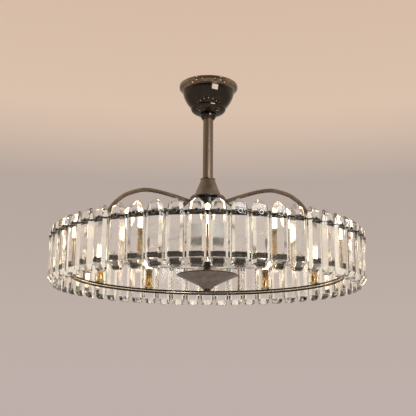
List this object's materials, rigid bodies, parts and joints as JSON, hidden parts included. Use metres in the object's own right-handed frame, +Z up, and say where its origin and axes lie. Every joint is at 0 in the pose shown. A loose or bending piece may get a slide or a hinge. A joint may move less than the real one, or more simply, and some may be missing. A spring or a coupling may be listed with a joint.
{
  "type": "chandelier ceiling fan",
  "caption": "Ceiling fan set inside a round chandelier: upright crystals on a ring carried by curved arms, candle lamps on an inner ring, clear blades turning in the middle.",
  "frame": {"origin": "centre of the ceiling bracket's top face, which lies against the ceiling", "axes": "+Z up out of the ceiling face, so the fitting hangs at negative Z; -Y is the front seen in the picture; +X is to the viewer's right"},
  "size_m": [0.801, 0.8007, 0.5608],
  "materials": {
    "gunmetal": "polished dark pearl plating",
    "black": "satin black",
    "satin_nickel": "satin nickel paint",
    "steel": "zinc plated",
    "brass": "polished",
    "winding": "lacquered copper over laminations",
    "magnet": "bare ferrite",
    "crystal": "cut and polished",
    "clear_blade": "clear acrylic",
    "bulb": "warm lit candle bulb"
  },
  "bodies": {
    "fixture": {"ceiling_bracket": "steel", "hanger_ball": "black", "hanger_pin": "steel", "downrod": "gunmetal", "coupling_cover": "gunmetal", "rod_coupling": "steel", "coupling_pin": "steel", "arm_hub": "black", "arm_1": "gunmetal", "arm_2": "gunmetal", "arm_3": "gunmetal", "arm_4": "gunmetal", "arm_5": "gunmetal", "crystal_bank_1": "crystal", "crystal_bank_2": "crystal", "crystal_bank_3": "crystal", "crystal_bank_4": "crystal", "crystal_bank_5": "crystal", "crystal_ring": "gunmetal", "lamp_ring": "gunmetal", "candle_sleeve_01": "brass", "candle_sleeve_02": "brass", "candle_sleeve_03": "brass", "candle_sleeve_04": "brass", "candle_sleeve_05": "brass", "candle_sleeve_06": "brass", "candle_sleeve_07": "brass", "candle_sleeve_08": "brass", "candle_sleeve_09": "brass", "candle_sleeve_10": "brass", "candle_sleeve_11": "brass", "candle_sleeve_12": "brass", "bulb_01": "bulb", "bulb_02": "bulb", "bulb_03": "bulb", "bulb_04": "bulb", "bulb_05": "bulb", "bulb_06": "bulb", "bulb_07": "bulb", "bulb_08": "bulb", "bulb_09": "bulb", "bulb_10": "bulb", "bulb_11": "bulb", "bulb_12": "bulb", "motor_shaft": "steel", "stator": "winding", "dish": "gunmetal", "dish_cover": "gunmetal", "finial": "gunmetal"},
    "canopy_set": {"canopy": "gunmetal", "lock_collar": "gunmetal"},
    "rotor": {"motor_housing": "satin_nickel", "magnet_ring": "magnet", "bearing_upper": "steel", "bearing_lower": "steel", "blade_carrier": "satin_nickel", "blade_1": "clear_blade", "blade_2": "clear_blade", "blade_3": "clear_blade", "blade_4": "clear_blade"}
  },
  "joints": [
    {"name": "fan_spin", "type": "hinge", "parent": "fixture", "child": "rotor", "pos_m": [0, 0, -0.405], "axis": [0, 0, 1], "continuous": true},
    {"name": "canopy_slide", "type": "slide", "parent": "fixture", "child": "canopy_set", "axis": [0, 0, -1], "range_m": [0, 0.16]}
  ]
}
